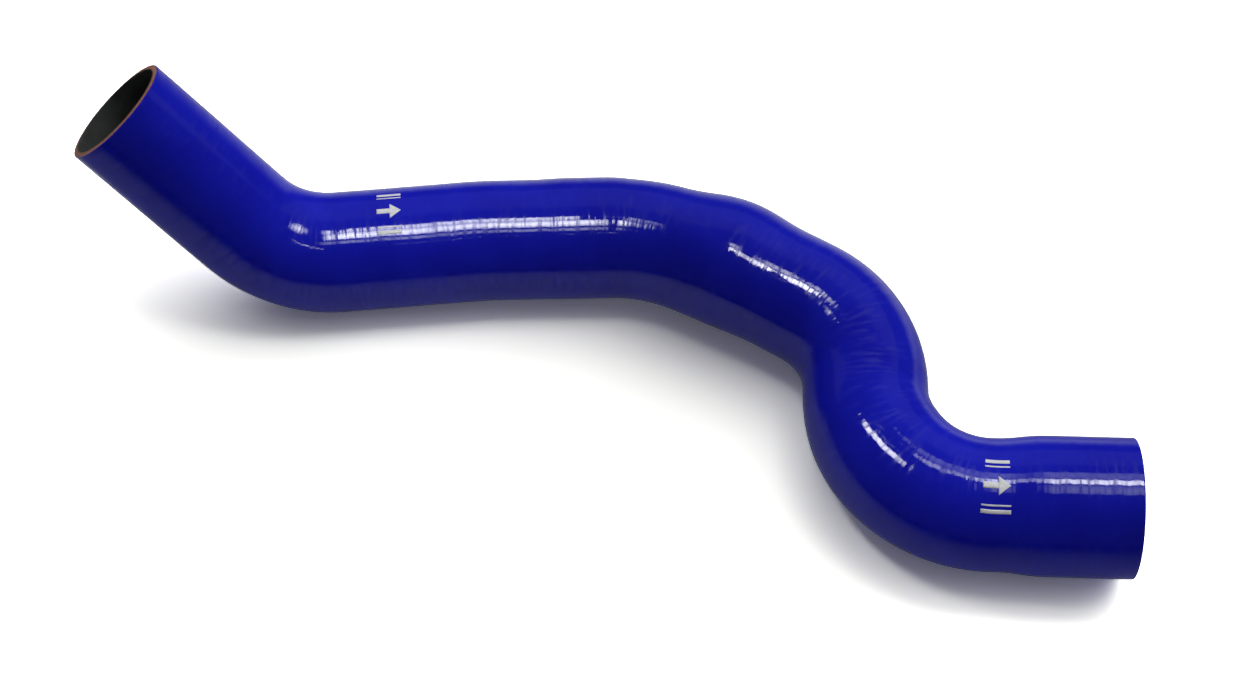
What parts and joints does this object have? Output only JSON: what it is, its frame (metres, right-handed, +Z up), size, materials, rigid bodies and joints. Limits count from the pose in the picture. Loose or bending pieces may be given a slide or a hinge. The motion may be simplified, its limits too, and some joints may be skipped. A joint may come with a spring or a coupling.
{
  "type": "coolant hose",
  "caption": "Moulded silicone coolant hose with a raised stub at one end, bends in more than one plane, a swollen sweep and a wider clamped cuff at the other end.",
  "frame": {"origin": "on the ground, below the middle of the hose's box, with the hose as it lies at rest", "axes": "+X along the longest extent, from the raised stub to the cuff; +Y away from the side that the cuff leg drops to; +Z up"},
  "size_m": [0.5954, 0.2802, 0.1512],
  "materials": {
    "blue_silicone": "smooth glossy blue silicone rubber, with a terracotta ply showing at the cut ends and a near-black liner"
  },
  "bodies": {
    "root": {"hose": "blue_silicone"}
  },
  "joints": []
}
